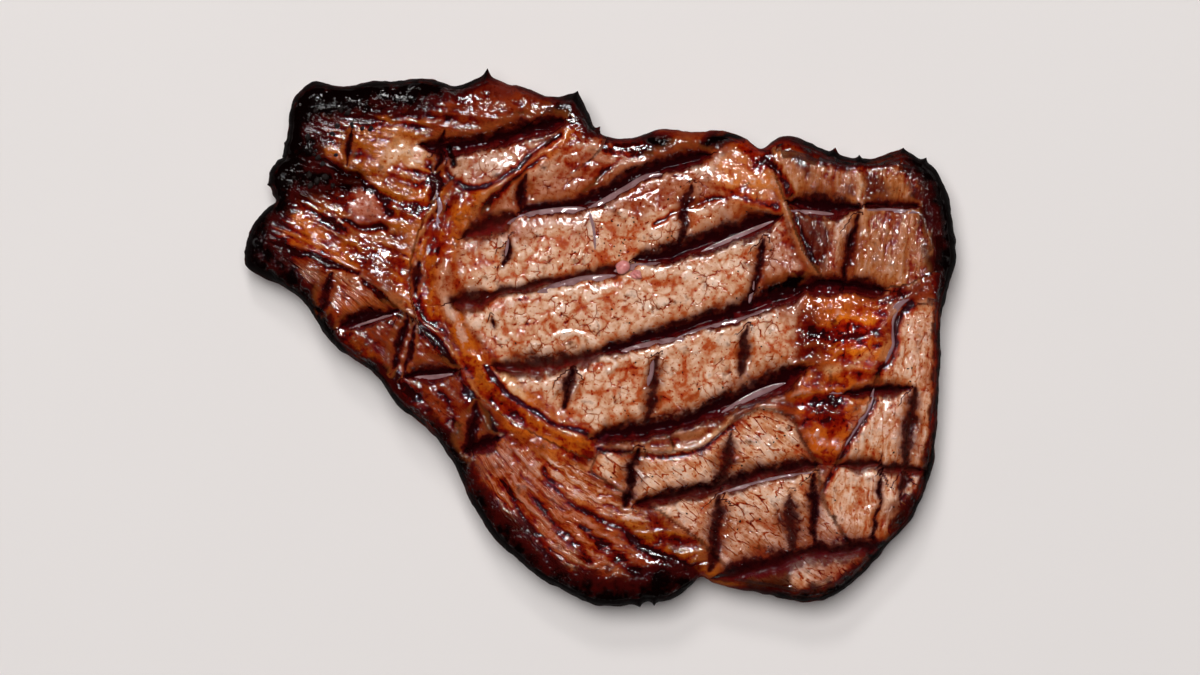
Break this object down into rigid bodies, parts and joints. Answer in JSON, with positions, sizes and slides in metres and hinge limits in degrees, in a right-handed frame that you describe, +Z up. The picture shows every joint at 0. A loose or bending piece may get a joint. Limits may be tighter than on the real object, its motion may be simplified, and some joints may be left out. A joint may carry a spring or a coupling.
{
  "type": "ribeye steak",
  "caption": "Thick grilled boneless ribeye steak with crossed grill marks, bands of browned fat and a charred edge, lying flat.",
  "frame": {"origin": "middle of the box seen from above, on the flat underside", "axes": "+X along the steak's longest extent, towards the broad rib-eye end; +Y across it, towards the straighter edge with the upper lump; +Z up, out of the marked face"},
  "size_m": [0.1774, 0.1334, 0.026],
  "materials": {
    "seared_meat": "seared and charred meat, wet with fat and juice",
    "meat_juice": "thin glossy film of meat juice and melted fat",
    "fat_crumb": "soft pink crumb of fat, moist",
    "pepper": "coarse ground black pepper",
    "char": "burnt crust flakes, dry to glossy"
  },
  "bodies": {
    "root": {"steak": "seared_meat"}
  },
  "joints": []
}
